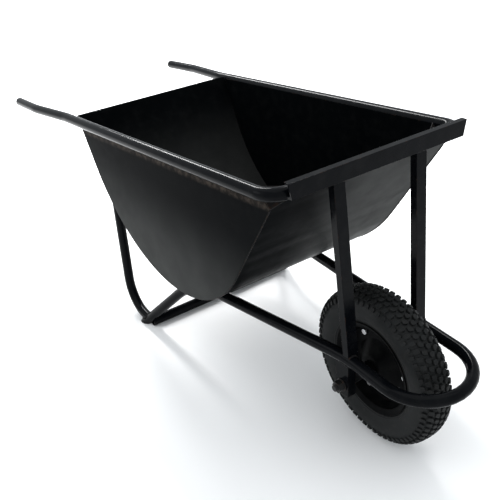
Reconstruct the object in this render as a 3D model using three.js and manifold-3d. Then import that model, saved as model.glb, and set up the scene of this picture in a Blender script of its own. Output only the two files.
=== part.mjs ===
// A one-wheel builder's wheelbarrow: tubular rim and handles, sheet trough, under-frame and wheel.
// Millimetres, +X forward (the wheel end), +Y the barrow's left, +Z up, origin on the ground.
import * as THREE from "three";
import Module from "manifold-3d";

const { Manifold, Mesh: ManifoldMesh } = await Module().then((wasm) => {
  wasm.setup();
  return wasm;
});

// ---- driving dimensions -----------------------------------------------------------------
const GAP = 0.3;                     // air left between two parts that touch
const SHEET = 2;                     // tray sheet thickness
const TUBE_R = 14;                   // every round tube of the frame
const TUBE_WALL = 2;
const TUBE_SIDES = 20;
const BEND_STEP = 11;                // degrees between two rings of a tube bend

const AXLE_X = 589.5;                // wheel axle, ahead of the middle of the overall length
const WHEEL_R = 189;
const TYRE_HALF = 40;

// The rim plane rises toward the front. Its height is measured at the axle.
const RIM_SLOPE = 0.1157;
const RIM_Z_AT_AXLE = 678.7;
const RIM_HALF_AT_AXLE = 246;        // half the distance between the two rim tubes' centres
const RIM_TAPER = 0.0153;            // and how fast it grows toward the rear
const HANDLE_END_X = -824.9;
const HANDLE_HALF = 282;             // grips stand a little wider than the rim
const HANDLE_JOG = [-655, -450];     // where the tube steps out to the grips
const HANDLE_JOG_BEND = 260;
const RIM_FRONT_X = AXLE_X - 38.3;   // centre of the tube's front crossing
const RIM_BEND = 45;

// The trough's outline: a straight front, a round bottom and a straight back.
const TRAY_FRONT_X = AXLE_X - 42;
const TRAY_BACK_X = AXLE_X - 985;
const TRAY_FRONT_ANGLE = 57;
const TRAY_BACK_ANGLE = 63.2;
const TRAY_BOTTOM_R = 408;
const TRAY_EDGE_LIFT = 3;            // the sheets stand a little above the tube's centre line
const TRAY_FLARE = 0.02;             // sideways lean of the side plates
const CORNER_DROP = 38;              // how far the front corners sink, to pass below the bend
const CORNER_BACK = 66;              // and how far the cut runs along the side and the front
const CORNER_ACROSS = 80;
const FRONT_EDGE_DROP = 10;          // the front sheet ends on the underside of the rim tube
const HEM_R = 4.5;

const BAR_FRONT_X = AXLE_X - 10;     // front face of the channel
const BAR_TOP_Z = 706;
const BAR_HEIGHT = 35;
const BAR_DEPTH = 14;
const BAR_WALL = 4;
const BAR_HALF = 228;
const BAR_BEVEL = 7;

const STRUT_W = 28;
const STRUT_D = 18;
const STRUT_WALL = 2;
const STRUT_TOP = [AXLE_X - 24, 107];
const STRUT_FOOT = [AXLE_X + 12, 99];

const RAIL_HALF = 103;               // lower rails, at the axle
const RAIL_Z = 261;
const RAIL_FRONT_X = AXLE_X + 223;
const RAIL_FRONT_Z = 257;
const RAIL_KNEE = [AXLE_X - 545, 167.8, 205];
const RAIL_KNEE_BEND = 220;
const RAIL_FRONT_BEND = 400;          // the slight bend above the axle
const RAIL_END = [AXLE_X - 772, 261.5, -41.8];  // aimed below ground, then cut off flat
const FOOT = [AXLE_X - 720, 240, 14];

const LEG_TOP = [AXLE_X - 858, 224, 352];
const LEG_HEEL = [AXLE_X - 833, 240, 17];
const LEG_BEND = 88;

const BRACKET_D = 40;                // axle bracket, along X
const BRACKET_W = 22;
const BRACKET_WALL = 4;
const BRACKET_BOTTOM = 165;

const AXLE_R = 8;
const AXLE_HALF = 137;
const RUNNING = 0.08;                // radial room round the axle
const HUB_R = 20;
const HUB_BORE = 17;
const HUB_HALF = 45;
const BEARING_LEN = 12;
const RIM_FLANGE_R = 114;
const RIM_FLANGE_Y = 31;
const RIM_CONE_R = 66;               // foot of the cone inside the bolts
const RIM_CONE_Y = 28;               // where it meets the hub
const BOLT_CIRCLE = 80;
const BOLT_START = 8;
const BOLT_COUNT = 6;
const VALVE_ANGLE = 218;
const VALVE_Y = -9.5;

// ---- colours and finishes ---------------------------------------------------------------
const FINISH = {
  frame: { color: 0x17191c, roughness: 0.3, metalness: 0.2 },
  tray: { color: 0x1c1e20, roughness: 0.36, metalness: 0.2 },
  rubber: { color: 0x191919, roughness: 0.85, metalness: 0 },
  rim: { color: 0x131416, roughness: 0.4, metalness: 0.3 },
  zinc: { color: 0x9a9c9e, roughness: 0.35, metalness: 0.9 },
  bronze: { color: 0x8a6a3a, roughness: 0.5, metalness: 0.8 },
};

const rad = THREE.MathUtils.degToRad;
const rimZ = (x) => RIM_Z_AT_AXLE + RIM_SLOPE * (x - AXLE_X);
const rimHalf = (x) => RIM_HALF_AT_AXLE + RIM_TAPER * (AXLE_X - x);

// ---- solids -----------------------------------------------------------------------------
function toSolid(geometry) {
  const flat = geometry.index ? geometry.toNonIndexed() : geometry;
  const position = flat.attributes.position;
  const seen = new Map();
  const points = [];
  const corners = [];
  for (let i = 0; i < position.count; i += 1) {
    const point = [position.getX(i), position.getY(i), position.getZ(i)];
    const key = point.map((value) => Math.round(value * 2e4)).join();
    if (!seen.has(key)) {
      seen.set(key, seen.size);
      points.push(...point);
    }
    corners.push(seen.get(key));
  }
  const kept = [];
  for (let i = 0; i < corners.length; i += 3) {
    const [a, b, c] = corners.slice(i, i + 3);
    if (a !== b && b !== c && a !== c) {
      kept.push(a, b, c);
    }
  }
  return new Manifold(new ManifoldMesh({
    numProp: 3,
    vertProperties: Float32Array.from(points),
    triVerts: Uint32Array.from(kept),
  }));
}

function toGeometry(solid) {
  const { numProp, vertProperties, triVerts } = solid.getMesh();
  const position = new Float32Array(triVerts.length * 3);
  triVerts.forEach((vertex, i) => {
    position.set(vertProperties.subarray(vertex * numProp, vertex * numProp + 3), i * 3);
  });
  const geometry = new THREE.BufferGeometry();
  geometry.setAttribute("position", new THREE.BufferAttribute(position, 3));
  geometry.computeVertexNormals();
  return geometry;
}

function part(name, shape, finish) {
  const geometry = shape.isBufferGeometry ? shape : toGeometry(shape);
  const mesh = new THREE.Mesh(geometry, new THREE.MeshStandardMaterial(FINISH[finish]));
  mesh.name = name;
  return mesh;
}

function box(low, high) {
  const size = high.map((value, i) => value - low[i]);
  const geometry = new THREE.BoxGeometry(...size);
  return geometry.translate(...low.map((value, i) => value + size[i] / 2));
}

function outline(points, holes = []) {
  const shape = new THREE.Shape(points.map(([x, y]) => new THREE.Vector2(x, y)));
  shape.holes = holes.map((hole) => new THREE.Path(hole.map(([x, y]) => new THREE.Vector2(x, y))));
  return shape;
}

// A flat outline in X and Z, given thickness along Y from y0 to y1.
function slab(points, y0, y1, holes = []) {
  const geometry = new THREE.ExtrudeGeometry(outline(points, holes), {
    depth: y1 - y0,
    bevelEnabled: false,
  });
  return geometry.rotateX(Math.PI / 2).translate(0, y1, 0);
}

function circle(cx, cy, r, sides) {
  return Array.from({ length: sides }, (_, i) => {
    const a = (i / sides) * 2 * Math.PI;
    return [cx + r * Math.cos(a), cy + r * Math.sin(a)];
  });
}

// Turns a closed profile of [radius, y] points about the Y axis, whichever way round it is.
function turned(profile, sides) {
  const points = profile.map(([r, y]) => new THREE.Vector2(r, y));
  if (THREE.ShapeUtils.isClockWise(points)) {
    points.reverse();
  }
  const onAxis = points.some((point) => point.x === 0);
  return new THREE.LatheGeometry(onAxis ? points : [...points, points[0]], sides);
}

// ---- bent tubes -------------------------------------------------------------------------
// Points joined by straight runs, each inner corner rounded to its own radius.
function bentPath(points, radii) {
  const at = points.map((point) => new THREE.Vector3(...point));
  const stations = [];
  const add = (point, tangent) => stations.push({ point, tangent });
  add(at[0], at[1].clone().sub(at[0]).normalize());
  for (let i = 1; i < at.length - 1; i += 1) {
    const before = at[i].clone().sub(at[i - 1]).normalize();
    const after = at[i + 1].clone().sub(at[i]).normalize();
    const turn = before.angleTo(after);
    const reach = radii[i - 1] * Math.tan(turn / 2);
    const axis = before.clone().cross(after).normalize();
    const inward = axis.clone().cross(before);
    const start = at[i].clone().addScaledVector(before, -reach);
    const centre = start.clone().addScaledVector(inward, radii[i - 1]);
    const steps = Math.max(2, Math.ceil(THREE.MathUtils.radToDeg(turn) / BEND_STEP));
    for (let k = 0; k <= steps; k += 1) {
      const angle = (turn * k) / steps;
      const arm = start.clone().sub(centre).applyAxisAngle(axis, angle);
      add(centre.clone().add(arm), before.clone().applyAxisAngle(axis, angle));
    }
  }
  const last = at.length - 1;
  add(at[last], at[last].clone().sub(at[last - 1]).normalize());
  return stations;
}

class StationCurve extends THREE.Curve {
  constructor(stations) {
    super();
    this.stations = stations;
  }

  near(u) {
    return this.stations[Math.round(u * (this.stations.length - 1))];
  }

  getPoint(u) {
    return this.near(u).point.clone();
  }

  getPointAt(u) {
    return this.getPoint(u);
  }

  getTangentAt(u) {
    return this.near(u).tangent.clone();
  }
}

function sweep(stations, radius, bore = 0) {
  const holes = bore > 0 ? [circle(0, 0, bore, TUBE_SIDES)] : [];
  return new THREE.ExtrudeGeometry(outline(circle(0, 0, radius, TUBE_SIDES), holes), {
    steps: stations.length - 1,
    extrudePath: new StationCurve(stations),
    bevelEnabled: false,
  });
}

const tube = (stations) => sweep(stations, TUBE_R, TUBE_R - TUBE_WALL);
const tubeRoom = (stations) => toSolid(sweep(stations, TUBE_R + GAP));

function rimPath() {
  const side = (sign) => [
    [HANDLE_END_X, HANDLE_HALF],
    [HANDLE_JOG[0], HANDLE_HALF],
    [HANDLE_JOG[1], rimHalf(HANDLE_JOG[1])],
    [RIM_FRONT_X, rimHalf(RIM_FRONT_X)],
  ].map(([x, half]) => [x, sign * half, rimZ(x)]);
  const bends = [HANDLE_JOG_BEND, HANDLE_JOG_BEND];
  return bentPath([...side(-1), ...side(1).reverse()], [...bends, RIM_BEND, RIM_BEND, ...bends]);
}

function railPath() {
  const side = (sign) => [
    [RAIL_END[0], sign * RAIL_END[1], RAIL_END[2]],
    [RAIL_KNEE[0], sign * RAIL_KNEE[1], RAIL_KNEE[2]],
    [AXLE_X, sign * RAIL_HALF, RAIL_Z],
    [RAIL_FRONT_X, sign * RAIL_HALF, RAIL_FRONT_Z],
  ];
  const bends = [RAIL_KNEE_BEND, RAIL_FRONT_BEND, RAIL_HALF - 1];
  return bentPath([...side(-1), ...side(1).reverse()], [...bends, ...bends.slice().reverse()]);
}

// ---- the tray ---------------------------------------------------------------------------
// The outer outline of the trough from the front edge, under the bottom, to the back edge.
function trayOutline(inset = 0) {
  const front = rad(TRAY_FRONT_ANGLE);
  const back = rad(TRAY_BACK_ANGLE);
  const down = new THREE.Vector2(-Math.cos(front), -Math.sin(front));
  const up = new THREE.Vector2(-Math.cos(back), Math.sin(back));
  const head = new THREE.Vector2(TRAY_FRONT_X, rimZ(TRAY_FRONT_X));
  const tail = new THREE.Vector2(TRAY_BACK_X, rimZ(TRAY_BACK_X));
  const span = tail.clone().sub(head);
  const cross = down.x * up.y - down.y * up.x;
  const toCorner = (span.x * up.y - span.y * up.x) / cross;
  const reach = TRAY_BOTTOM_R * Math.tan((front + back) / 2);
  const start = head.clone().addScaledVector(down, toCorner - reach);
  const inward = new THREE.Vector2(-Math.sin(front), Math.cos(front));
  const centre = start.clone().addScaledVector(inward, TRAY_BOTTOM_R);
  const shift = (point, normal) => point.clone().addScaledVector(normal, inset);
  const lift = (point, direction) => {
    const rise = TRAY_EDGE_LIFT / (Math.abs(direction.y) - RIM_SLOPE * Math.abs(direction.x));
    return point.clone().addScaledVector(direction, rise);
  };
  const points = [lift(shift(head, inward), down.clone().negate())];
  const steps = 30;
  for (let k = 0; k <= steps; k += 1) {
    const angle = front - Math.PI / 2 - ((front + back) * k) / steps;
    const r = TRAY_BOTTOM_R - inset;
    points.push(new THREE.Vector2(centre.x + r * Math.cos(angle), centre.y + r * Math.sin(angle)));
  }
  const backInward = new THREE.Vector2(Math.sin(back), Math.cos(back));
  points.push(lift(shift(tail, backInward), up));
  return points.map((point) => [point.x, point.y]);
}

// Leans something built about y = 0 onto the plane of a side plate, outer face first.
function ontoSide(geometry, sign) {
  const m = new THREE.Matrix4();
  const slope = -RIM_TAPER - TRAY_FLARE * RIM_SLOPE;
  const base = rimHalf(0) - TUBE_R - GAP - TRAY_FLARE * rimZ(0);
  m.set(
    1, 0, 0, 0,
    sign * slope, 1, sign * TRAY_FLARE, sign * base,
    0, 0, 1, 0,
    0, 0, 0, 1,
  );
  return geometry.applyMatrix4(m);
}

// The three corners of the sloping cut below each bend of the rim tube.
function cornerCut(sign) {
  const x = TRAY_FRONT_X;
  const half = rimHalf(x) - TUBE_R - GAP;
  const lowX = x - CORNER_DROP / Math.tan(rad(TRAY_FRONT_ANGLE));
  return [
    [x - CORNER_BACK, half, rimZ(x - CORNER_BACK) + TRAY_EDGE_LIFT],
    [lowX, half, rimZ(lowX) - CORNER_DROP],
    [x - 7, half - CORNER_ACROSS, rimZ(x) - FRONT_EDGE_DROP],
  ].map(([px, py, pz]) => new THREE.Vector3(px, sign * py, pz));
}

// A flat three-sided plate on that cut, grown about its middle and raised off it.
function cornerWedge(sign, grow, from, to) {
  const corners = cornerCut(sign);
  const middle = corners[0].clone().add(corners[1]).add(corners[2]).divideScalar(3);
  const normal = corners[1].clone().sub(corners[0]).cross(corners[2].clone().sub(corners[0]));
  normal.normalize();
  if (normal.z < 0) {
    normal.negate();
  }
  const points = [from, to].flatMap((height) => corners.map((corner) => {
    const grown = middle.clone().lerp(corner, grow);
    return grown.addScaledVector(normal, height).toArray();
  }));
  return Manifold.hull(points);
}

// What the rim tube and its front bends need of the tray's upper edge.
function rimClearance(sign) {
  const x = TRAY_FRONT_X;
  const above = slab([
    [x - 20, rimZ(x - 20) - 4], [x + 60, rimZ(x + 60) - 4], [x + 60, 900], [x - 20, 900],
  ], -330, 330);
  return toSolid(above).add(cornerWedge(sign, 1.5, 0, 70)).add(tubeRoom(rimPath()));
}

function traySide(sign) {
  const plate = sign > 0 ? slab(trayOutline(), -SHEET, 0) : slab(trayOutline(), 0, SHEET);
  return toSolid(ontoSide(plate, sign)).subtract(rimClearance(sign));
}

// The sheet that makes the front, the bottom and the back, its back edge rolled outward.
function traySheet() {
  const outer = trayOutline();
  const inner = trayOutline(SHEET);
  const [tipX, tipZ] = outer[outer.length - 1];
  const middle = [tipX - HEM_R + SHEET / 2, tipZ];
  const turn = 290;
  const steps = 14;
  const roll = (r, reverse) => {
    const ring = Array.from({ length: steps + 1 }, (_, k) => {
      const a = rad((turn * k) / steps);
      return [middle[0] + r * Math.cos(a), middle[1] + r * Math.sin(a)];
    });
    return reverse ? ring.reverse() : ring;
  };
  const profile = [
    ...outer.slice(0, -1),
    ...roll(HEM_R - SHEET / 2),
    ...roll(HEM_R + SHEET / 2, true),
    ...inner.slice(0, -1).reverse(),
  ];
  const wide = 300;
  let sheet = toSolid(slab(profile, -wide, wide));
  for (const sign of [-1, 1]) {
    const from = SHEET + GAP;
    const beyond = sign > 0 ? [-from, wide] : [-wide, from];
    const outside = box([-900, beyond[0], -100], [900, beyond[1], 900]);
    sheet = sheet.subtract(toSolid(ontoSide(outside, sign)));
    sheet = sheet.subtract(rimClearance(sign));
  }
  return sheet;
}

// The triangular plate that closes a front corner of the tray below the rim tube's bend.
function cornerPlate(sign, rim) {
  return cornerWedge(sign, 0.97, GAP, GAP + SHEET).subtract(rim);
}

// ---- the frame --------------------------------------------------------------------------
function frontBar() {
  const x = BAR_FRONT_X;
  const [top, bottom] = [BAR_TOP_Z, BAR_TOP_Z - BAR_HEIGHT];
  const section = [
    [x, bottom], [x, top], [x - BAR_DEPTH, top], [x - BAR_DEPTH, top - BAR_WALL],
    [x - BAR_WALL, top - BAR_WALL], [x - BAR_WALL, bottom + BAR_WALL],
    [x - BAR_DEPTH, bottom + BAR_WALL], [x - BAR_DEPTH, bottom],
  ];
  let bar = toSolid(slab(section, -BAR_HALF, BAR_HALF));
  for (const sign of [-1, 1]) {
    const wedge = outline([
      [sign * BAR_HALF, top + 1], [sign * (BAR_HALF + 9), top + 1],
      [sign * (BAR_HALF + 9), bottom - 1], [sign * (BAR_HALF - BAR_BEVEL), bottom - 1],
    ]);
    const cutter = new THREE.ExtrudeGeometry(wedge, { depth: 90, bevelEnabled: false });
    cutter.rotateX(Math.PI / 2).rotateZ(Math.PI / 2).translate(x - 60, 0, 0);
    bar = bar.subtract(toSolid(cutter));
  }
  return bar;
}

function strut(sign, rail, rim) {
  const top = new THREE.Vector3(STRUT_TOP[0], sign * STRUT_TOP[1], BAR_TOP_Z - BAR_HEIGHT - GAP);
  const foot = new THREE.Vector3(STRUT_FOOT[0], sign * STRUT_FOOT[1], RAIL_Z);
  const along = top.clone().sub(foot);
  const half = [STRUT_D / 2, STRUT_W / 2];
  const ring = (trim) => [[1, 1], [-1, 1], [-1, -1], [1, -1]].map(([a, b]) => (
    [a * (half[0] - trim), b * (half[1] - trim)]
  ));
  const section = outline(ring(0), [ring(STRUT_WALL)]);
  const geometry = new THREE.ExtrudeGeometry(section, { depth: 1, bevelEnabled: false });
  const m = new THREE.Matrix4();
  m.set(
    1, 0, along.x, foot.x,
    0, 1, along.y, foot.y,
    0, 0, along.z, foot.z,
    0, 0, 0, 1,
  );
  return toSolid(geometry.applyMatrix4(m)).subtract(rail).subtract(rim);
}

function railLoop() {
  const ground = toSolid(box([-900, -400, -120], [900, 400, 0]));
  return toSolid(tube(railPath())).subtract(ground);
}

function rearLeg(sign, rail, underTray) {
  const points = [LEG_TOP, LEG_HEEL, [FOOT[0], FOOT[1], LEG_HEEL[2]]];
  const path = bentPath(points.map(([x, y, z]) => [x, sign * y, z]), [LEG_BEND]);
  return toSolid(tube(path)).subtract(rail).subtract(underTray);
}

function crossTube(rail) {
  const x = FOOT[0] + 18;
  const ends = [[x, -FOOT[1], TUBE_R], [x, FOOT[1], TUBE_R]];
  const cut = toSolid(tube(bentPath(ends, []))).subtract(rail);
  return cut.decompose().sort((a, b) => b.volume() - a.volume())[0];
}

function axleBracket(sign, rail) {
  const low = BRACKET_BOTTOM;
  const half = BRACKET_D / 2;
  const outer = sign * (RAIL_HALF + BRACKET_W / 2);
  const inner = outer - sign * BRACKET_WALL;
  const far = outer - sign * BRACKET_W;
  const hole = circle(AXLE_X, WHEEL_R, AXLE_R + GAP, 32);
  const plate = [
    [AXLE_X - half, low + 9], [AXLE_X - half + 9, low], [AXLE_X + half, low],
    [AXLE_X + half, RAIL_Z], [AXLE_X - half, RAIL_Z],
  ];
  const side = slab(plate, Math.min(outer, inner), Math.max(outer, inner), [hole]);
  const lip = box(
    [AXLE_X + half - BRACKET_WALL, Math.min(outer, far), low],
    [AXLE_X + half, Math.max(outer, far), RAIL_Z],
  );
  const solid = toSolid(side).add(toSolid(lip)).subtract(rail);
  return solid.decompose().sort((a, b) => b.volume() - a.volume())[0];
}

// ---- the wheel and its axle -------------------------------------------------------------
function tyre() {
  const outer = [
    [103.8, 22], [107, 26.5], [115.5, 28.5], [128, 36.5], [146, TYRE_HALF], [164, 39.5],
    [176, 36], [184, 30], [188, 20], [WHEEL_R, 8],
  ];
  const inner = [[181, 8], [178, 20], [164, 32], [146, 34], [126, 29], [103.8, 16]];
  const mirror = (list) => list.map(([r, y]) => [r, -y]).reverse();
  return turned([...outer, ...mirror(outer), ...mirror(inner), ...inner], 48);
}

function innerTube() {
  const profile = circle(0, 0, 1, 12).map(([r, y]) => [143 + r * 34, y * 24]);
  return turned(profile, 36);
}

// One pressed half of the split rim: a cone that stands on the hub, the flat bolted ring, a well,
// a bead seat and a flange.
function rimHalfDish(sign) {
  const skin = 2;
  const path = [
    [HUB_R + GAP, RIM_CONE_Y], [28, RIM_CONE_Y], [32, RIM_CONE_Y - 2], [RIM_CONE_R - 4, 1.5],
    [RIM_CONE_R, 0.2], [92.5, 0.2], [97, 7], [99.5, 12], [101.5, RIM_FLANGE_Y - 5],
    [106, RIM_FLANGE_Y - 2], [RIM_FLANGE_R, RIM_FLANGE_Y],
  ];
  const offset = path.map(([r, y], i) => {
    const a = path[Math.max(i - 1, 0)];
    const b = path[Math.min(i + 1, path.length - 1)];
    const run = Math.hypot(b[0] - a[0], b[1] - a[1]);
    return [r + ((b[1] - a[1]) / run) * -skin, y + ((b[0] - a[0]) / run) * skin];
  });
  const ring = [...path, ...offset.reverse()].map(([r, y]) => [r, sign * y]);
  const pressed = toSolid(turned(ring, 40));
  const valveHole = new THREE.CylinderGeometry(4.6, 4.6, 30, 16).translate(0, 100, 0);
  const dish = pressed.subtract(toSolid(valvePlace(valveHole)));
  return boltAngles().reduce((solid, angle) => {
    const hole = new THREE.CylinderGeometry(4.4, 4.4, 60, 16);
    return solid.subtract(toSolid(onCircle(hole, BOLT_CIRCLE, angle)));
  }, dish);
}

const boltAngles = () => (
  Array.from({ length: BOLT_COUNT }, (_, i) => BOLT_START + (i * 360) / BOLT_COUNT)
);

// Moves something made about the Y axis out to a radius and an angle of the wheel.
function onCircle(geometry, radius, angle) {
  const a = rad(angle);
  return geometry.translate(radius * Math.cos(a), 0, radius * Math.sin(a));
}

function hub() {
  return turned([
    [HUB_BORE, -HUB_HALF], [HUB_R, -HUB_HALF], [HUB_R, HUB_HALF], [HUB_BORE, HUB_HALF],
  ], 40);
}

function ringAlongY(inner, outer, y0, y1, sides) {
  return turned([[inner, y0], [outer, y0], [outer, y1], [inner, y1]], sides);
}

function hexAlongY(acrossFlats, y0, y1, bore) {
  const r = acrossFlats / 2 / Math.cos(Math.PI / 6);
  const holes = bore > 0 ? [circle(0, 0, bore, 24)] : [];
  return slab(circle(0, 0, r, 6), y0, y1, holes);
}

function axle() {
  const rod = [[0, -AXLE_HALF], [AXLE_R - 1.2, -AXLE_HALF], [AXLE_R, -AXLE_HALF + 1.2]];
  const end = rod.map(([r, y]) => [r, -y]).reverse();
  return new THREE.LatheGeometry([...rod, ...end].map(([r, y]) => new THREE.Vector2(r, y)), 48);
}

function wheelBolt() {
  const grip = toSolid(new THREE.CylinderGeometry(4, 4, 16, 16).translate(0, 0.5, 0));
  return grip.add(toSolid(hexAlongY(13, -7.7, -2.6, 0)));
}

// Stands something made along +Y on the valve's radius, its foot at the axle.
function valvePlace(geometry) {
  return geometry.rotateX(Math.PI / 2).rotateY(rad(90 - VALVE_ANGLE)).translate(0, VALVE_Y, 0);
}

function axleFacing(profile) {
  return valvePlace(new THREE.LatheGeometry(profile.map(([r, y]) => new THREE.Vector2(r, y)), 20));
}

const valveStem = () => axleFacing([
  [0, 76], [2.6, 76], [2.6, 82], [4.2, 83], [4.2, 104], [7, 105.5], [7, 108.5], [0, 108.5],
]);

const valveCap = () => axleFacing([
  [0, 70], [3.4, 70], [4.4, 71], [4.4, 80], [2.9, 80], [2.9, 75.7], [0, 75.7],
]);

// ---- assembly ---------------------------------------------------------------------------
function addFrame(root) {
  const railRoom = tubeRoom(railPath());
  const rimRoom = tubeRoom(rimPath());
  const trayRoom = toSolid(slab(
    [...trayOutline(-GAP), [TRAY_BACK_X, 900], [TRAY_FRONT_X, 900]],
    -300,
    300,
  ));
  root.add(part("tray_sheet", traySheet(), "tray"));
  root.add(part("rim_tube", tube(rimPath()), "frame"));
  root.add(part("front_bar", frontBar(), "frame"));
  root.add(part("rail_loop", railLoop(), "frame"));
  root.add(part("stand_cross_tube", crossTube(railRoom), "frame"));
  for (const [side, sign] of [["right", -1], ["left", 1]]) {
    root.add(part(`tray_side_${side}`, traySide(sign), "tray"));
    root.add(part(`corner_plate_${side}`, cornerPlate(sign, rimRoom), "frame"));
    root.add(part(`strut_${side}`, strut(sign, railRoom, rimRoom), "frame"));
    root.add(part(`rear_leg_${side}`, rearLeg(sign, railRoom, trayRoom), "frame"));
    root.add(part(`axle_bracket_${side}`, axleBracket(sign, railRoom), "frame"));
  }
}

function addAxle(root) {
  const group = new THREE.Group();
  group.position.set(AXLE_X, 0, WHEEL_R);
  group.add(part("axle", axle(), "zinc"));
  const face = RAIL_HALF + BRACKET_W / 2;
  for (const [side, sign] of [["right", -1], ["left", 1]]) {
    const span = (a, b) => (sign > 0 ? [a, b] : [-b, -a]);
    const washer = span(face + GAP, face + GAP + 2.5);
    const nut = span(face + 2 * GAP + 2.5, face + 2 * GAP + 15.5);
    const spacer = span(HUB_HALF + 1, face - BRACKET_WALL - GAP);
    const bore = AXLE_R + GAP;
    group.add(part(`axle_washer_${side}`, ringAlongY(bore, 15, ...washer, 32), "zinc"));
    group.add(part(`axle_nut_${side}`, hexAlongY(24, ...nut, bore), "zinc"));
    group.add(part(`axle_spacer_${side}`, ringAlongY(bore, 11, ...spacer, 28), "frame"));
  }
  root.add(group);
}

function addWheel(root) {
  const wheel = new THREE.Group();
  wheel.name = "wheel";
  wheel.position.set(AXLE_X, 0, WHEEL_R);
  wheel.add(part("tyre", tyre(), "rubber"));
  wheel.add(part("inner_tube", innerTube(), "rubber"));
  wheel.add(part("hub", hub(), "rim"));
  for (const [side, sign] of [["right", -1], ["left", 1]]) {
    const seat = sign > 0 ? [HUB_HALF - BEARING_LEN, HUB_HALF] : [-HUB_HALF, BEARING_LEN - HUB_HALF];
    const bush = ringAlongY(AXLE_R + RUNNING, HUB_BORE - GAP, ...seat, 48);
    wheel.add(part(`rim_half_${side}`, rimHalfDish(sign), "rim"));
    wheel.add(part(`bush_${side}`, bush, "bronze"));
  }
  wheel.add(part("valve_stem", valveStem(), "rubber"));
  wheel.add(part("valve_cap", valveCap(), "rubber"));
  boltAngles().forEach((angle, i) => {
    const bolt = part(`rim_bolt_${i + 1}`, wheelBolt(), "zinc");
    const nut = part(`rim_nut_${i + 1}`, hexAlongY(13, 2.6, 8, 4 + GAP), "zinc");
    for (const piece of [bolt, nut]) {
      onCircle(piece.geometry, BOLT_CIRCLE, angle);
      wheel.add(piece);
    }
  });
  root.add(wheel);
}

const barrow = new THREE.Group();
barrow.name = "wheelbarrow";
addFrame(barrow);
addAxle(barrow);
addWheel(barrow);

export default barrow;
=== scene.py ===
"""Visual model of a one-wheel builder's wheelbarrow: black paint, zinc, a treaded tyre and welds.

Metres, in the CAD frame: +X forward (the wheel end), +Y the barrow's left, +Z up.
"""
import math

import bpy
import bmesh
from mathutils import Matrix, Vector, noise


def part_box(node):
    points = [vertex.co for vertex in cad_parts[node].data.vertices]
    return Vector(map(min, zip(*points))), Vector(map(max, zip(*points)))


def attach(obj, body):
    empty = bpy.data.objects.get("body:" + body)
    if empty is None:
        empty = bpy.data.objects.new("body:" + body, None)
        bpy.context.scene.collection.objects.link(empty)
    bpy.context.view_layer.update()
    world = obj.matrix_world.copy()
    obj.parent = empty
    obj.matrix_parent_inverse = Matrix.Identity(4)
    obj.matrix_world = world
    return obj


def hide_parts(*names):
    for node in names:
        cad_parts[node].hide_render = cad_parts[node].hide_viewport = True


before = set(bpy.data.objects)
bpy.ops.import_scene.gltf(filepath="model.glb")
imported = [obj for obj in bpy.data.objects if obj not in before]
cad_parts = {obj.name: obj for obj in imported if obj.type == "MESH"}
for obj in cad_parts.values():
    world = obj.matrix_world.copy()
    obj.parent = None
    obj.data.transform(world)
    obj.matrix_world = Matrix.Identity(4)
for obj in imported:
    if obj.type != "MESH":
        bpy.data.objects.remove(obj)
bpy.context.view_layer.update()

# ---- dimensions shared with the frame, in metres -------------------------------------------
TUBE_R = 0.014
WHEEL_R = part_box("tyre")[1].z / 2
AXLE = (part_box("tyre")[0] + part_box("tyre")[1]) / 2

RAIL_HALF = 0.103
RAIL_Z = 0.261
RAIL_KNEE = Vector((0.0445, 0.1678, 0.205))
RAIL_END = Vector((-0.1825, 0.2615, -0.0418))
LEG_HEEL = Vector((-0.2435, 0.240, 0.017))
CROSS_TUBE_X = -0.1125
STRUT_TOP = Vector((0.5655, 0.107, 0.6705))
STRUT_FOOT_X = 0.6015
STRUT_HALF = Vector((0.009, 0.014))

# The trough's side outline in (x, z): its front and back edges meet a round bottom.
TRAY_HEAD = Vector((0.5475, 0.6738))
TRAY_TAIL = Vector((-0.3955, 0.5647))
TRAY_FRONT_ANGLE = math.radians(57)
TRAY_BACK_ANGLE = math.radians(63.2)
TRAY_BOTTOM_R = 0.408
# A side plate's inner face lies at y = TRAY_HALF - TRAY_NARROWING * x + TRAY_FLARE * z.
TRAY_HALF = 0.2265
TRAY_NARROWING = 0.0176
TRAY_FLARE = 0.02
# The rim tube's centre line lies at z = RIM_RISE + RIM_SLOPE * x.
RIM_SLOPE = 0.1157
RIM_RISE = 0.6105

BLOCK_HEIGHT = 0.0052
BLOCKS_AROUND = 64

THREAD_LENGTH = 0.024
THREAD_PITCH = 0.00175
THREAD_DEPTH = 0.0007
THREAD_STEPS = 8                        # rows of vertices in one pitch
TIP_CHAMFER = 0.0012

BEAD_R = 0.0024
SEAM_BEAD_R = 0.0017
SEAM_SHORT_FRONT = 0.050                # how far the seam's bead stops short of the tray's edges
SEAM_SHORT_BACK = 0.030

# ---- camera: where it stands, and how far it is turned, raised and rolled --------------------
CAMERA_AT = Vector((1.50796, -0.89675, 1.26031))
CAMERA_YAW = 1.012864
CAMERA_PITCH = 0.538193
CAMERA_ROLL = -0.076114
CAMERA_LENS = 51.90


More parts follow.
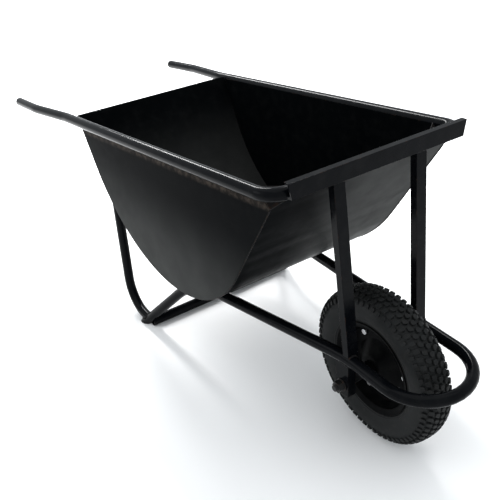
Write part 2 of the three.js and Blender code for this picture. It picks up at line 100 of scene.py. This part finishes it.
# ---- materials ------------------------------------------------------------------------------
class Finish:
    """One procedural material. Patterns are laid out in metres, in the object's own space."""

    def __init__(self, name):
        self.material = bpy.data.materials.new(name)
        self.material.use_nodes = True
        self.tree = self.material.node_tree
        self.shader = self.tree.nodes["Principled BSDF"]
        self.place = self.add("ShaderNodeTexCoord").outputs["Object"]

    def add(self, kind, **settings):
        node = self.tree.nodes.new(kind)
        for key, value in settings.items():
            setattr(node, key, value)
        return node

    def join(self, source, target):
        self.tree.links.new(source, target)

    def noise(self, scale, detail=4.0, roughness=0.55, stretch=None):
        """Noise from 0 to 1, its scale in features per metre."""
        node = self.add("ShaderNodeTexNoise")
        node.inputs["Scale"].default_value = scale
        node.inputs["Detail"].default_value = detail
        node.inputs["Roughness"].default_value = roughness
        place = self.place
        if stretch:
            mapping = self.add("ShaderNodeMapping")
            mapping.inputs["Scale"].default_value = stretch
            self.join(place, mapping.inputs["Vector"])
            place = mapping.outputs["Vector"]
        self.join(place, node.inputs["Vector"])
        return node.outputs["Fac"]

    def spread(self, value, low, high, to_low=0.0, to_high=1.0):
        """Stretches the band from low to high of a value over a new range."""
        node = self.add("ShaderNodeMapRange", interpolation_type="SMOOTHSTEP")
        node.inputs["From Min"].default_value = low
        node.inputs["From Max"].default_value = high
        node.inputs["To Min"].default_value = to_low
        node.inputs["To Max"].default_value = to_high
        self.join(value, node.inputs["Value"])
        return node.outputs["Result"]

    def maths(self, operation, first, second):
        node = self.add("ShaderNodeMath", operation=operation, use_clamp=True)
        for value, socket in ((first, node.inputs[0]), (second, node.inputs[1])):
            if isinstance(value, (int, float)):
                socket.default_value = value
            else:
                self.join(value, socket)
        return node.outputs["Value"]

    def mix(self, share, first, second):
        """Blends two colours, each a triple or another node's output."""
        node = self.add("ShaderNodeMix", data_type="RGBA")
        self.join(share, node.inputs["Factor"])
        for value, socket in ((first, node.inputs["A"]), (second, node.inputs["B"])):
            if isinstance(value, tuple):
                socket.default_value = (*value, 1.0)
            else:
                self.join(value, socket)
        return node.outputs["Result"]

    def edges(self, radius):
        """1 along convex and concave edges, 0 on open surfaces."""
        rounded = self.add("ShaderNodeBevel", samples=4)
        rounded.inputs["Radius"].default_value = radius
        surface = self.add("ShaderNodeNewGeometry")
        dot = self.add("ShaderNodeVectorMath", operation="DOT_PRODUCT")
        self.join(rounded.outputs["Normal"], dot.inputs[0])
        self.join(surface.outputs["Normal"], dot.inputs[1])
        return self.spread(dot.outputs["Value"], 0.995, 0.90)

    def along(self, axis, start, end):
        """0 to 1 along one axis, named "X", "Y" or "Z", between two places in metres."""
        split = self.add("ShaderNodeSeparateXYZ")
        self.join(self.place, split.inputs["Vector"])
        return self.spread(split.outputs[axis], start, end)

    def below_rim(self, start, end):
        """0 to 1 between two depths below the sloping plane of the rim tube's centre line."""
        dot = self.add("ShaderNodeVectorMath", operation="DOT_PRODUCT")
        self.join(self.place, dot.inputs[0])
        dot.inputs[1].default_value = (-RIM_SLOPE, 0.0, 1.0)
        return self.spread(dot.outputs["Value"], RIM_RISE - start, RIM_RISE - end)

    def facing_out(self):
        """1 where a surface faces away from the barrow's middle plane, 0 where it faces it."""
        surface = self.add("ShaderNodeNewGeometry")
        product = self.add("ShaderNodeVectorMath", operation="MULTIPLY")
        self.join(surface.outputs["Normal"], product.inputs[0])
        self.join(self.place, product.inputs[1])
        split = self.add("ShaderNodeSeparateXYZ")
        self.join(product.outputs["Vector"], split.inputs["Vector"])
        return self.spread(split.outputs["Y"], 0.05, 0.15)

    def facing_down(self, low=0.05, high=-0.05):
        """1 where a surface faces the ground, 0 where it faces the sky."""
        surface = self.add("ShaderNodeNewGeometry")
        split = self.add("ShaderNodeSeparateXYZ")
        self.join(surface.outputs["Normal"], split.inputs["Vector"])
        return self.spread(split.outputs["Z"], low, high)

    def facing_up(self):
        """The reverse of facing_down."""
        return self.facing_down(-0.05, 0.05)

    def bump(self, layers, rounding=0.0):
        """Stacks height layers of (height, strength, depth in metres) into the normal."""
        normal = None
        if rounding:
            bevel = self.add("ShaderNodeBevel", samples=4)
            bevel.inputs["Radius"].default_value = rounding
            normal = bevel.outputs["Normal"]
        for height, strength, depth in layers:
            node = self.add("ShaderNodeBump")
            node.inputs["Strength"].default_value = strength
            node.inputs["Distance"].default_value = depth
            self.join(height, node.inputs["Height"])
            if normal:
                self.join(normal, node.inputs["Normal"])
            normal = node.outputs["Normal"]
        self.join(normal, self.shader.inputs["Normal"])


def black_paint(
    name, base, gloss, dust, wear, waviness, specular, creases=0.0, painted_sheens=(), rim_rust=0.0,
):
    """Black enamel on steel: orange peel, soft dents, thin dust, and brown where edges rub.

    waviness and creases are depths in metres. Each painted sheen is (grey, facing, spans): a lighter
    grey painted on the faces that `facing` picks in place of reflected light, growing along each
    span's axis from one place to the other.
    """
    look = Finish(name)
    broad = look.noise(7.0, 3.0)
    cloudy = look.noise(34.0, 5.0, 0.6)
    fine = look.noise(420.0, 3.0, 0.6)
    peel = look.noise(260.0, 2.0, 0.4)
    dents = look.noise(9.0, 2.0, 0.45)
    rub = look.edges(0.0016)
    patch = look.spread(look.noise(55.0, 4.0, 0.7), 0.52, 0.68)
    worn = look.maths("MULTIPLY", rub, look.maths("MULTIPLY", patch, wear))
    dusty = look.maths("MULTIPLY", look.spread(cloudy, 0.40, 0.80), dust)
    tone = look.mix(broad, tuple(c * 0.75 for c in base), tuple(c * 1.3 for c in base))
    # Painted sheen: a lighter grey laid over the faces that `facing` picks, standing in for reflected
    # light.
    for grey, facing, spans in painted_sheens:
        uneven = look.spread(look.noise(11.0, 3.0), 0.25, 0.75, 0.75, 1.0)
        share = look.maths("MULTIPLY", uneven, facing(look))
        for axis, start, end in spans:
            share = look.maths("MULTIPLY", share, look.along(axis, start, end))
        tone = look.mix(share, tone, (grey, grey * 1.03, grey * 1.01))
    tone = look.mix(dusty, tone, (0.050, 0.049, 0.046))
    specks = look.maths("MULTIPLY", look.spread(fine, 0.70, 0.78), 0.35 * dust)
    tone = look.mix(specks, tone, (0.12, 0.115, 0.105))
    tone = look.mix(worn, tone, (0.062, 0.030, 0.016))
    if rim_rust:
        band = look.maths("MULTIPLY", look.below_rim(0.018, 0.030), look.below_rim(0.046, 0.034))
        band = look.maths("MULTIPLY", band, look.facing_out())
        mottle = look.spread(look.noise(60.0, 5.0, 0.7), 0.38, 0.66, 0.10, rim_rust)
        tone = look.mix(look.maths("MULTIPLY", band, mottle), tone, (0.078, 0.062, 0.050))
    look.join(tone, look.shader.inputs["Base Color"])
    rough = look.spread(cloudy, 0.30, 0.75, gloss - 0.05, gloss + 0.08)
    rough = look.maths("ADD", rough, look.maths("MULTIPLY", worn, 0.35))
    rough = look.maths("ADD", rough, look.maths("MULTIPLY", dusty, 0.25))
    look.join(rough, look.shader.inputs["Roughness"])
    layers = [(dents, 0.5, waviness), (peel, 0.25, 0.0002), (fine, 0.10, 0.0001)]
    if creases:
        layers.insert(0, (look.noise(16.0, 1.5, 0.4, stretch=(1.0, 0.10, 1.0)), 0.6, creases))
    look.bump(layers, 0.0009)
    look.shader.inputs["Specular IOR Level"].default_value = specular
    return look.material


def weld_metal(name):
    """A weld under paint: the same black, duller, with scale and a little rust in the ripples."""
    look = Finish(name)
    scale = look.noise(300.0, 4.0, 0.65)
    blotch = look.noise(70.0, 3.0)
    rust = look.maths("MULTIPLY", look.spread(blotch, 0.50, 0.70), 0.55)
    tone = look.mix(scale, (0.004, 0.004, 0.005), (0.012, 0.011, 0.010))
    tone = look.mix(rust, tone, (0.045, 0.022, 0.012))
    look.join(tone, look.shader.inputs["Base Color"])
    look.join(look.spread(scale, 0.3, 0.7, 0.32, 0.55), look.shader.inputs["Roughness"])
    look.bump([(scale, 0.5, 0.0005)])
    look.shader.inputs["Specular IOR Level"].default_value = 0.06
    return look.material


def rubber(name, tone_low, tone_high, gloss, grain):
    """Moulded black rubber: fine grain, cloudy bloom and dust held in the grooves."""
    look = Finish(name)
    cloudy = look.noise(26.0, 5.0, 0.62)
    fine = look.noise(grain, 3.0, 0.6)
    bloom = look.noise(90.0, 4.0, 0.6)
    tone = look.mix(look.spread(cloudy, 0.35, 0.70), tone_low, tone_high)
    dust = look.maths("MULTIPLY", look.spread(bloom, 0.50, 0.75), 0.40)
    tone = look.mix(dust, tone, (0.022, 0.021, 0.019))
    corner = look.maths("MULTIPLY", look.edges(0.0022), 0.35)
    tone = look.mix(corner, tone, (0.024, 0.023, 0.022))
    look.join(tone, look.shader.inputs["Base Color"])
    rough = look.spread(cloudy, 0.3, 0.75, gloss - 0.06, gloss + 0.10)
    look.join(rough, look.shader.inputs["Roughness"])
    look.bump([(cloudy, 0.25, 0.0008), (fine, 0.35, 0.0003)], 0.0008)
    look.shader.inputs["Specular IOR Level"].default_value = 0.16
    return look.material


def plated(name, tone, gloss, tarnish):
    """Zinc-plated or bare metal with handling marks, grey tarnish and brown specks."""
    look = Finish(name)
    cloudy = look.noise(80.0, 5.0, 0.6)
    fine = look.noise(900.0, 3.0, 0.6)
    brush = look.noise(500.0, 3.0, 0.6, stretch=(1.0, 0.08, 1.0))
    stain = look.maths("MULTIPLY", look.spread(cloudy, 0.45, 0.72), tarnish)
    colour = look.mix(brush, tuple(c * 0.82 for c in tone), tone)
    colour = look.mix(stain, colour, (0.10, 0.072, 0.050))
    look.join(colour, look.shader.inputs["Base Color"])
    rough = look.spread(cloudy, 0.3, 0.75, gloss - 0.06, gloss + 0.16)
    look.join(rough, look.shader.inputs["Roughness"])
    look.shader.inputs["Metallic"].default_value = 0.9
    look.bump([(brush, 0.25, 0.0002), (fine, 0.2, 0.0001)], 0.0005)
    return look.material


def studio_floor(name):
    """A plain pale floor with the faintest mottle."""
    look = Finish(name)
    mottle = look.noise(3.0, 3.0)
    tone = look.mix(mottle, (0.94, 0.94, 0.94), (0.97, 0.97, 0.97))
    look.join(tone, look.shader.inputs["Base Color"])
    look.join(look.spread(mottle, 0.3, 0.7, 0.75, 0.85), look.shader.inputs["Roughness"])
    look.bump([(look.noise(400.0, 2.0), 0.05, 0.0002)])
    return look.material


FRAME_PAINT = black_paint(
    "frame_enamel", (0.0018, 0.0022, 0.0030),
    gloss=0.15, dust=0.06, wear=0.75, waviness=0.0008, specular=0.05,
)
TRAY_PAINT = black_paint(
    "tray_enamel", (0.0018, 0.0023, 0.0027),
    gloss=0.36, dust=0.05, wear=0.60, waviness=0.0012, specular=0.004,
    # Painted reflection: the plates' outer faces turn lighter grey towards the bottom, standing in
    # for the floor's reflection.
    painted_sheens=[(0.046, Finish.facing_out, [("Z", 0.54, 0.24)])],
    rim_rust=0.55,
)
SHEET_PAINT = black_paint(
    "sheet_enamel", (0.0018, 0.0023, 0.0027),
    gloss=0.36, dust=0.05, wear=0.60, waviness=0.0014, specular=0.005, creases=0.006,
    # Painted sheen: the front face turns lighter grey towards the left and the nose, and the
    # up-facing inside turns faintly lighter towards the bottom and the back.
    painted_sheens=[
        (0.052, Finish.facing_down, [("Y", -0.13, 0.07), ("X", 0.12, 0.30)]),
        (0.020, Finish.facing_up, [("Z", 0.54, 0.34), ("X", 0.15, -0.10)]),
    ],
)
RIM_PAINT = black_paint(
    "rim_enamel", (0.0018, 0.0020, 0.0022),
    gloss=0.32, dust=0.08, wear=0.60, waviness=0.0006, specular=0.02,
)
FIXING_PAINT = black_paint(
    "fixing_enamel", (0.0035, 0.0038, 0.0042),
    gloss=0.32, dust=0.16, wear=1.00, waviness=0.0004, specular=0.25,
)
WELD = weld_metal("painted_weld")
TYRE_RUBBER = rubber("tyre_rubber", (0.0042, 0.0048, 0.0050), (0.0090, 0.0100, 0.0104), 0.58, 700.0)
SMALL_RUBBER = rubber("small_rubber", (0.005, 0.005, 0.005), (0.009, 0.009, 0.009), 0.50, 1200.0)
ZINC = plated("zinc_plate", (0.62, 0.63, 0.64), 0.30, 0.45)
BUSH = plated("sintered_bush", (0.30, 0.24, 0.17), 0.48, 0.60)

PAINTED_FIXINGS = ("axle_nut", "axle_washer", "axle_spacer")
SLOT_LOOKS = {
    "frame_paint": FRAME_PAINT,
    "tray_paint": TRAY_PAINT,
    "rim_paint": RIM_PAINT,
    "tyre_rubber": TYRE_RUBBER,
    "tube_rubber": SMALL_RUBBER,
    "zinc": ZINC,
    "bush_metal": BUSH,
}


# ---- carried-over CAD nodes ------------------------------------------------------------------
def dress(node):
    """Gives a CAD node its detailed finish, smooth curved faces and slightly rounded edges."""
    for place in node.material_slots:
        if node.name.startswith(PAINTED_FIXINGS):
            place.material = FIXING_PAINT
        elif node.name == "tray_sheet":
            place.material = SHEET_PAINT
        elif node.name.startswith("corner_plate"):
            place.material = WELD
        else:
            place.material = SLOT_LOOKS[place.material.name]
    mesh = node.data
    if mesh.has_custom_normals:
        mesh.attributes.remove(mesh.attributes["custom_normal"])
    mesh.shade_smooth()
    weld = node.modifiers.new("weld", "WELD")
    weld.merge_threshold = 1e-6
    bevel = node.modifiers.new("bevel", "BEVEL")
    bevel.width = 0.0006
    bevel.segments = 2
    bevel.limit_method = "ANGLE"
    bevel.angle_limit = math.radians(32)
    bevel.harden_normals = True


# ---- mesh helpers ----------------------------------------------------------------------------
def piece(name, mesh_builder, material, body):
    """Turns a bmesh into a finished object that rides on a CAD body."""
    bmesh.ops.remove_doubles(mesh_builder, verts=mesh_builder.verts, dist=1e-6)
    bmesh.ops.recalc_face_normals(mesh_builder, faces=mesh_builder.faces)
    mesh = bpy.data.meshes.new(name)
    mesh_builder.to_mesh(mesh)
    mesh_builder.free()
    mesh.materials.append(material)
    made = bpy.data.objects.new(name, mesh)
    bpy.context.scene.collection.objects.link(made)
    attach(made, body)
    return made


def grid_faces(builder, rows, close_rows, close_columns):
    """Joins rows of vertices into quads."""
    row_steps = len(rows) if close_rows else len(rows) - 1
    for i in range(row_steps):
        near, far = rows[i], rows[(i + 1) % len(rows)]
        column_steps = len(near) if close_columns else len(near) - 1
        for k in range(column_steps):
            n = (k + 1) % len(near)
            builder.faces.new((near[k], near[n], far[n], far[k]))


def smooth_line(points, steps):
    """A Catmull-Rom line through 2D points, with `steps` pieces between each pair."""
    padded = [points[0], *points, points[-1]]
    line = []
    for i in range(1, len(padded) - 2):
        a, b, c, d = (Vector(p) for p in padded[i - 1:i + 3])
        for k in range(steps):
            t = k / steps
            line.append(0.5 * (
                2 * b + (c - a) * t + (2 * a - 5 * b + 4 * c - d) * t * t
                + (3 * b - a - 3 * c + d) * t ** 3
            ))
    line.append(Vector(points[-1]))
    return line


def about_axle(radius, y, angle):
    """A point of the wheel: radius and angle about the axle, and place along it."""
    return Vector((AXLE.x + radius * math.cos(angle), y, AXLE.z + radius * math.sin(angle)))


# ---- tyre ------------------------------------------------------------------------------------
def tyre_outline():
    """Half of the carcass section from the crown's middle to the bead, as (radius, y)."""
    crown = WHEEL_R - BLOCK_HEIGHT
    return smooth_line([
        (crown, 0.0), (crown - 0.0004, 0.010), (crown - 0.0022, 0.020), (crown - 0.0070, 0.0290),
        (crown - 0.0150, 0.0350), (0.1580, 0.0388), (0.1450, 0.0396), (0.1330, 0.0376),
        (0.1240, 0.0338), (0.1220, 0.0330), (0.1208, 0.0334), (0.1196, 0.0318), (0.1176, 0.0306),
        (0.1164, 0.0310), (0.1152, 0.0292), (0.1120, 0.0285), (0.1080, 0.0270), (0.1045, 0.0225),
    ], 4)


def carcass(builder):
    """The tyre's body without its tread, turned about the axle and closed inside."""
    half = tyre_outline()
    inner = [(0.1045, 0.0170), (0.1250, 0.0290), (0.1450, 0.0340), (0.1640, 0.0320), (0.1770, 0.0200)]
    section = [(p.x, p.y) for p in half] + inner
    mirrored = [(r, -y) for r, y in reversed(section[1:])]
    profile = section + mirrored
    sides = 160
    rows = []
    for i in range(sides):
        angle = 2 * math.pi * i / sides
        rows.append([builder.verts.new(about_axle(r, y, angle)) for r, y in profile])
    grid_faces(builder, rows, True, True)


class Crown:
    """Places on the carcass by distance across it from the crown's middle."""

    def __init__(self):
        self.line = tyre_outline()
        self.length = [0.0]
        for a, b in zip(self.line, self.line[1:]):
            self.length.append(self.length[-1] + (b - a).length)

    def at(self, across, rise):
        """(radius, y) at a signed distance across the tread and a height above the carcass."""
        distance = abs(across)
        i = 0
        while self.length[i + 1] < distance:
            i += 1
        a, b = self.line[i], self.line[i + 1]
        share = (distance - self.length[i]) / (self.length[i + 1] - self.length[i])
        point = a.lerp(b, share)
        along = (b - a).normalized()
        out = Vector((along.y, -along.x))
        point = point + out * rise
        return point.x, math.copysign(point.y, across)


def tread_block(builder, crown, across, angle, width, length, skew, height):
    """One block: chamfered corners, tapered sides and a rounded top edge."""
    quarter = ((1, 0.55), (0.6, 1))
    ahead = [*quarter, *((-u, v) for u, v in reversed(quarter))]
    around = [*ahead, *((u, -v) for u, v in reversed(ahead))]
    shape = [(u * width / 2, v * length / 2) for u, v in around]
    rows = []
    for rise, trim in ((-0.0012, 1.12), (height * 0.75, 1.0), (height * 0.96, 0.93), (height, 0.80)):
        row = []
        for u, v in shape:
            turn = angle + (v * trim + skew * u) / WHEEL_R
            radius, y = crown.at(across + u * trim, rise)
            row.append(builder.verts.new(about_axle(radius, y, turn)))
        rows.append(row)
    grid_faces(builder, rows, False, True)
    builder.faces.new(rows[-1])
    builder.faces.new(rows[0])


def make_tyre():
    """The carcass in place of the plain tyre, and the tread's blocks on it."""
    builder = bmesh.new()
    carcass(builder)
    tyre = piece("tyre_carcass", builder, TYRE_RUBBER, "wheel")
    tyre.data.shade_smooth()
    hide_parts("tyre")
    blocks = bmesh.new()
    crown = Crown()
    pitch = 2 * math.pi / BLOCKS_AROUND
    # Distance across from the crown's middle, shift in pitches, width, length, skew.
    rows = (
        (0.0, 0.0, 0.0100, 0.0115, 0.0),
        (0.0140, 0.5, 0.0100, 0.0110, 0.35),
        (0.0275, 0.0, 0.0105, 0.0110, 0.20),
        (0.0410, 0.5, 0.0110, 0.0095, 0.0),
    )
    for across, shift, width, length, skew in rows:
        for side in ((1,) if across == 0 else (1, -1)):
            height = BLOCK_HEIGHT * (1.0 if across < 0.03 else 0.72)
            for i in range(BLOCKS_AROUND):
                angle = (i + shift) * pitch
                tread_block(blocks, crown, side * across, angle, width, length, side * skew, height)
    piece("tyre_tread", blocks, TYRE_RUBBER, "wheel")


# ---- threaded axle ---------------------------------------------------------------------------
def make_axle():
    """The axle rod with a cut thread on each end and chamfered tips."""
    low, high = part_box("axle")
    radius = (high.z - low.z) / 2
    half = high.y
    thread_from = half - THREAD_LENGTH
    step = THREAD_PITCH / THREAD_STEPS
    sides = 40
    builder = bmesh.new()
    places = [-half + i * step for i in range(int((half - thread_from) / step) + 1)]
    places += [0.0] + [-y for y in reversed(places)]
    rows = []
    for y in places:
        row = []
        for k in range(sides):
            angle = 2 * math.pi * k / sides
            phase = (y / THREAD_PITCH + k / sides) % 1.0
            cut = THREAD_DEPTH * (1 - abs(2 * phase - 1)) if abs(y) > thread_from else 0.0
            tip = max(0.0, TIP_CHAMFER - (half - abs(y)))
            row.append(builder.verts.new(about_axle(radius - cut - tip, y, angle)))
        rows.append(row)
    grid_faces(builder, rows, False, True)
    builder.faces.new(rows[0])
    builder.faces.new(rows[-1])
    axle = piece("axle_threaded", builder, FIXING_PAINT, "barrow")
    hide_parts("axle")


# ---- welds -----------------------------------------------------------------------------------
def resample(points, step):
    """Points evenly spaced along a line of points."""
    spaced = [points[0]]
    left = step
    for a, b in zip(points, points[1:]):
        length = (b - a).length
        walked = 0.0
        while length - walked >= left:
            walked += left
            spaced.append(a.lerp(b, walked / length))
            left = step
        left -= length - walked
    return spaced


def add_bead(builder, points, radius, seed, spacing=0.22):
    """A weld bead along a line: overlapping ripples, uneven in width, closed at both ends."""
    line = resample([Vector(p) for p in points], radius * spacing)
    if len(line) < 4:
        return
    sides = 10
    rows = []
    for i, point in enumerate(line):
        before, after = line[max(i - 1, 0)], line[min(i + 1, len(line) - 1)]
        along = (after - before).normalized()
        across = along.orthogonal().normalized()
        over = along.cross(across)
        ripple = 0.90 + 0.10 * math.cos(2 * math.pi * i / 4.5)
        uneven = 1.0 + 0.22 * noise.noise(point * 160 + Vector((seed, 0, 0)))
        ends = min(1.0, 0.25 + 0.3 * min(i, len(line) - 1 - i))
        size = radius * ripple * uneven * ends
        rows.append([
            builder.verts.new(point + size * (
                math.cos(2 * math.pi * k / sides) * across + math.sin(2 * math.pi * k / sides) * over
            ))
            for k in range(sides)
        ])
    grid_faces(builder, rows, False, True)
    builder.faces.new(rows[0])
    builder.faces.new(rows[-1])


def where_tubes_meet(base, along, host, host_along, radius=TUBE_R, host_radius=TUBE_R, sides=40):
    """The closed line where a tube from `base` runs into the side of a host tube."""
    along = along.normalized()
    host_along = host_along.normalized()
    across = along.orthogonal().normalized()
    over = along.cross(across)
    points = []
    for k in range(sides + 1):
        angle = 2 * math.pi * k / sides
        start = base + radius * (math.cos(angle) * across + math.sin(angle) * over)
        offset = start - host
        flat = offset - offset.dot(host_along) * host_along
        run = along - along.dot(host_along) * host_along
        a = run.dot(run)
        b = 2 * flat.dot(run)
        c = flat.dot(flat) - host_radius ** 2
        inside = b * b - 4 * a * c
        if inside >= 0:
            points.append(start + along * ((-b - math.sqrt(inside)) / (2 * a)))
    return points


def both_sides(points):
    """The same line on the barrow's right and on its left."""
    return [points, [Vector((p.x, -p.y, p.z)) for p in points]]


def foot_welds():
    """Beads where each rear leg and the cross tube meet the end of the lower rail."""
    rail_along = (RAIL_KNEE - RAIL_END).normalized()
    leg = where_tubes_meet(LEG_HEEL, Vector((1, 0, 0)), RAIL_END, rail_along)
    cross_base = Vector((CROSS_TUBE_X, 0.0, TUBE_R))
    cross = where_tubes_meet(cross_base, Vector((0, 1, 0)), RAIL_END, rail_along)
    lines = []
    for ring in (leg, cross):
        above = [p for p in ring if p.z > 0.004]
        if len(above) > 3:
            lines += both_sides(above)
    return lines


def strut_welds():
    """Beads over the rail at each strut's foot and round its top under the channel."""
    lines = []
    for x in (STRUT_FOOT_X - STRUT_HALF.x, STRUT_FOOT_X + STRUT_HALF.x):
        reach = [-0.013 + 0.0023 * k for k in range(11)]
        lines += both_sides([
            Vector((x, RAIL_HALF + y, RAIL_Z + math.sqrt(TUBE_R ** 2 - y * y))) for y in reach
        ])
    corners = ((-1, -1), (1, -1), (1, 1), (-1, 1))
    lines += both_sides([
        STRUT_TOP + Vector((u * STRUT_HALF.x, v * STRUT_HALF.y, 0.0)) for u, v in corners
    ])
    return lines


def bracket_welds():
    """Beads under the rail along each axle bracket's outer face and front lip."""
    low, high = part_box("axle_bracket_left")
    z = RAIL_Z - math.sqrt(TUBE_R ** 2 - (high.y - RAIL_HALF) ** 2)
    outer = [
        Vector((low.x + 0.001, high.y + 0.0003, z - 0.0025)),
        Vector((high.x - 0.001, high.y + 0.0003, z - 0.0005)),
    ]
    lip = [
        Vector((high.x, RAIL_HALF + y, RAIL_Z - math.sqrt(TUBE_R ** 2 - y * y)))
        for y in (-0.010, -0.006, -0.002, 0.002, 0.006, 0.010)
    ]
    return both_sides(outer) + both_sides(lip)


def seam_outline():
    """The seam's line in (x, z), from below the front edge round the bottom to the back."""
    down = Vector((-math.cos(TRAY_FRONT_ANGLE), -math.sin(TRAY_FRONT_ANGLE)))
    up = Vector((-math.cos(TRAY_BACK_ANGLE), math.sin(TRAY_BACK_ANGLE)))
    span = TRAY_TAIL - TRAY_HEAD
    corner = (span.x * up.y - span.y * up.x) / (down.x * up.y - down.y * up.x)
    reach = TRAY_BOTTOM_R * math.tan((TRAY_FRONT_ANGLE + TRAY_BACK_ANGLE) / 2)
    start = TRAY_HEAD + down * (corner - reach)
    centre = start + TRAY_BOTTOM_R * Vector((down.y, -down.x))
    points = [TRAY_HEAD + down * SEAM_SHORT_FRONT]
    steps = 40
    for k in range(steps + 1):
        angle = TRAY_FRONT_ANGLE - math.pi / 2 - (TRAY_FRONT_ANGLE + TRAY_BACK_ANGLE) * k / steps
        points.append(centre + TRAY_BOTTOM_R * Vector((math.cos(angle), math.sin(angle))))
    points.append(TRAY_TAIL - up * SEAM_SHORT_BACK)
    return points


def seam_welds():
    """The long bead where the sheet meets each side plate."""
    seam = []
    for point in seam_outline():
        y = TRAY_HALF - TRAY_NARROWING * point.x + TRAY_FLARE * point.y
        seam.append(Vector((point.x, -y, point.y)))
    return both_sides(seam)


def make_welds():
    """Every bead, joined into one piece."""
    builder = bmesh.new()
    for seed, line in enumerate(seam_welds()):
        add_bead(builder, line, SEAM_BEAD_R, seed * 5.1, spacing=0.7)
    for seed, line in enumerate(foot_welds() + strut_welds() + bracket_welds()):
        add_bead(builder, line, BEAD_R, seed * 3.7)
    beads = piece("weld_beads", builder, WELD, "barrow")
    beads.data.shade_smooth()


# ---- stage -----------------------------------------------------------------------------------
def make_floor():
    """A large pale floor just under the feet and the tyre."""
    builder = bmesh.new()
    half = 40.0
    below = -0.0005
    square = ((-1, -1), (1, -1), (1, 1), (-1, 1))
    builder.faces.new([builder.verts.new((x * half, y * half, below)) for x, y in square])
    mesh = bpy.data.meshes.new("floor")
    builder.to_mesh(mesh)
    builder.free()
    mesh.materials.append(studio_floor("pale_floor"))
    floor = bpy.data.objects.new("floor", mesh)
    bpy.context.scene.collection.objects.link(floor)


def softbox(name, at, aim, width, height, power):
    """A rectangular studio light pointed at a place."""
    data = bpy.data.lights.new(name, "AREA")
    data.shape = "RECTANGLE"
    data.size = width
    data.size_y = height
    data.energy = power
    lamp = bpy.data.objects.new(name, data)
    bpy.context.scene.collection.objects.link(lamp)
    lamp.location = at
    lamp.rotation_mode = "QUATERNION"
    lamp.rotation_quaternion = (Vector(aim) - Vector(at)).to_track_quat("-Z", "Y")


def make_light():
    """A pale world, and softboxes above, along the tubes, at the side and toward the nose."""
    world = bpy.data.worlds.new("studio")
    world.use_nodes = True
    sky = world.node_tree.nodes["Background"]
    sky.inputs["Color"].default_value = (0.93, 0.97, 1.0, 1.0)
    sky.inputs["Strength"].default_value = 0.98
    bpy.context.scene.world = world
    softbox("top_light", (0.0, 0.0, 3.5), (0.0, 0.0, 0.0), 4.0, 4.0, 45.0)
    softbox("strip_light", (-3.0, 0.5, 2.3), (-3.0, 0.5, 0.0), 3.4, 0.4, 200.0)
    softbox("side_light", (-0.9, -2.4, 1.7), (0.0, 0.0, 0.5), 1.4, 1.0, 9.0)
    softbox("nose_light", (-1.6, 1.9, 3.6), (0.7, 0.0, 0.2), 0.7, 0.5, 40.0)


def make_camera():
    back = Vector((
        math.sin(CAMERA_YAW) * math.cos(CAMERA_PITCH),
        -math.cos(CAMERA_YAW) * math.cos(CAMERA_PITCH),
        math.sin(CAMERA_PITCH),
    ))
    level = (-back).cross(Vector((0, 0, 1))).normalized()
    upright = level.cross(-back)
    right = level * math.cos(CAMERA_ROLL) + upright * math.sin(CAMERA_ROLL)
    up = upright * math.cos(CAMERA_ROLL) - level * math.sin(CAMERA_ROLL)
    turned = Matrix((right, up, back)).transposed().to_4x4()
    data = bpy.data.cameras.new("camera")
    data.lens = CAMERA_LENS
    data.sensor_width = 36.0
    data.clip_start = 0.05
    data.clip_end = 200.0
    camera = bpy.data.objects.new("camera", data)
    bpy.context.scene.collection.objects.link(camera)
    camera.matrix_world = Matrix.Translation(CAMERA_AT) @ turned
    bpy.context.scene.camera = camera


# ---- assembly --------------------------------------------------------------------------------
for cad_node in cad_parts.values():
    dress(cad_node)
make_tyre()
make_axle()
make_welds()
make_floor()
make_light()
make_camera()
bpy.context.scene.view_settings.view_transform = "Standard"
